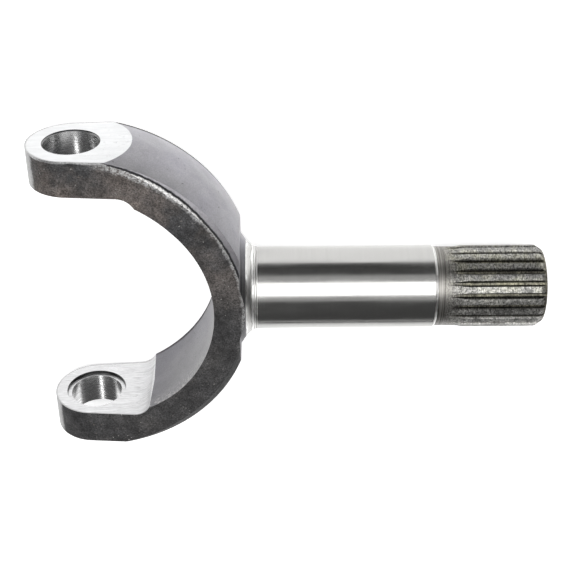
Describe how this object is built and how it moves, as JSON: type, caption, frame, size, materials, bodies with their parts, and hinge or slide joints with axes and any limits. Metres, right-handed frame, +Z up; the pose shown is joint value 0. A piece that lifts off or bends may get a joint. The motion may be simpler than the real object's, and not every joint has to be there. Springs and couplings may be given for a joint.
{
  "type": "forged yoke",
  "caption": "C-shaped forged drive yoke with two bored ears and a ground, splined stub shaft, in one piece.",
  "frame": {"origin": "where the axis of the two ear bores crosses the shaft's axis", "axes": "+X along the shaft to the splined end, +Y along the ear bores, +Z up, square to the flat side face that the yoke lies on"},
  "size_m": [0.2416, 0.1566, 0.048],
  "materials": {
    "steel": "dark as-forged side faces, grey blasted band, bright machined ears, ground journal"
  },
  "bodies": {
    "root": {"forged_yoke": "steel"}
  },
  "joints": []
}
